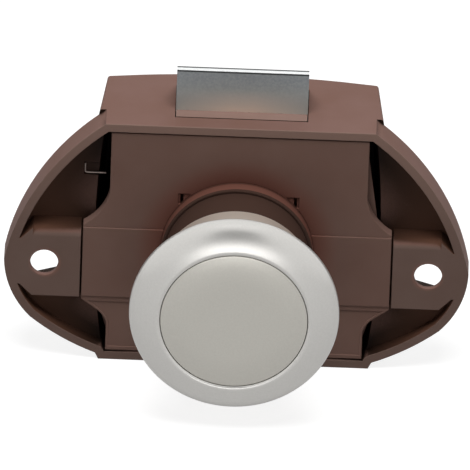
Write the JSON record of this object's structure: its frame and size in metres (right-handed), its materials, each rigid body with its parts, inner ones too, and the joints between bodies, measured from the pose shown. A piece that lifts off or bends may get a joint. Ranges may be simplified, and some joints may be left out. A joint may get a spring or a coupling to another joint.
{
  "type": "push button cabinet lock",
  "caption": "Brown plastic push button cabinet lock with screw wings, a round satin nickel rosette and button through the door, and a sprung steel bolt.",
  "frame": {"origin": "button axis where it meets the mounting face, which lies on the door's inner side", "axes": "-Y along the button axis out of the door, +Z the way the bolt comes out, +X to the right seen from the button"},
  "size_m": [0.0762, 0.0444, 0.051],
  "materials": {
    "housing_plastic": "fine textured brown",
    "cover_plastic": "fine textured brown",
    "satin_nickel": "pearl satin nickel plate",
    "bolt_steel": "zinc plated sheet",
    "core_plastic": "moulded black",
    "slide_plastic": "natural acetal",
    "spring_steel": "bright spring wire",
    "screw_steel": "zinc plated"
  },
  "bodies": {
    "lock_body": {"housing": "housing_plastic", "front_cover": "cover_plastic", "cover_screws": "screw_steel", "rosette": "satin_nickel", "button_spring": "spring_steel", "spring_washer": "screw_steel", "latch_follower": "spring_steel", "follower_spring": "spring_steel", "slot_wire": "spring_steel"},
    "button": {"button_cap": "satin_nickel", "button_core": "core_plastic", "core_screw": "screw_steel", "plunger_shaft": "slide_plastic", "drive_pins": "screw_steel"},
    "retractor": {"retractor_slide": "slide_plastic", "latch_track": "core_plastic", "bolt_spring_left": "spring_steel", "bolt_spring_right": "spring_steel"},
    "bolt": {"bolt_carrier": "housing_plastic", "steel_bolt": "bolt_steel", "bolt_rivets": "screw_steel"}
  },
  "joints": [
    {"name": "button_travel", "type": "slide", "parent": "lock_body", "child": "button", "axis": [0, -1, 0], "range_m": [-0.0008, 0.0085], "deforming": ["button_spring"]},
    {"name": "retractor_pull", "type": "slide", "parent": "lock_body", "child": "retractor", "axis": [0, 0, -1], "range_m": [-0.00071, 0.00752]},
    {"name": "bolt_slam", "type": "slide", "parent": "retractor", "child": "bolt", "axis": [0, 0, -1], "range_m": [0, 0.0074], "stiffness_N_per_m": 300, "springref_m": -0.003, "deforming": ["bolt_spring_left", "bolt_spring_right"]}
  ],
  "couplings": [
    {"joint": "retractor_pull", "follows": "button_travel", "ratio": 0.88471}
  ]
}
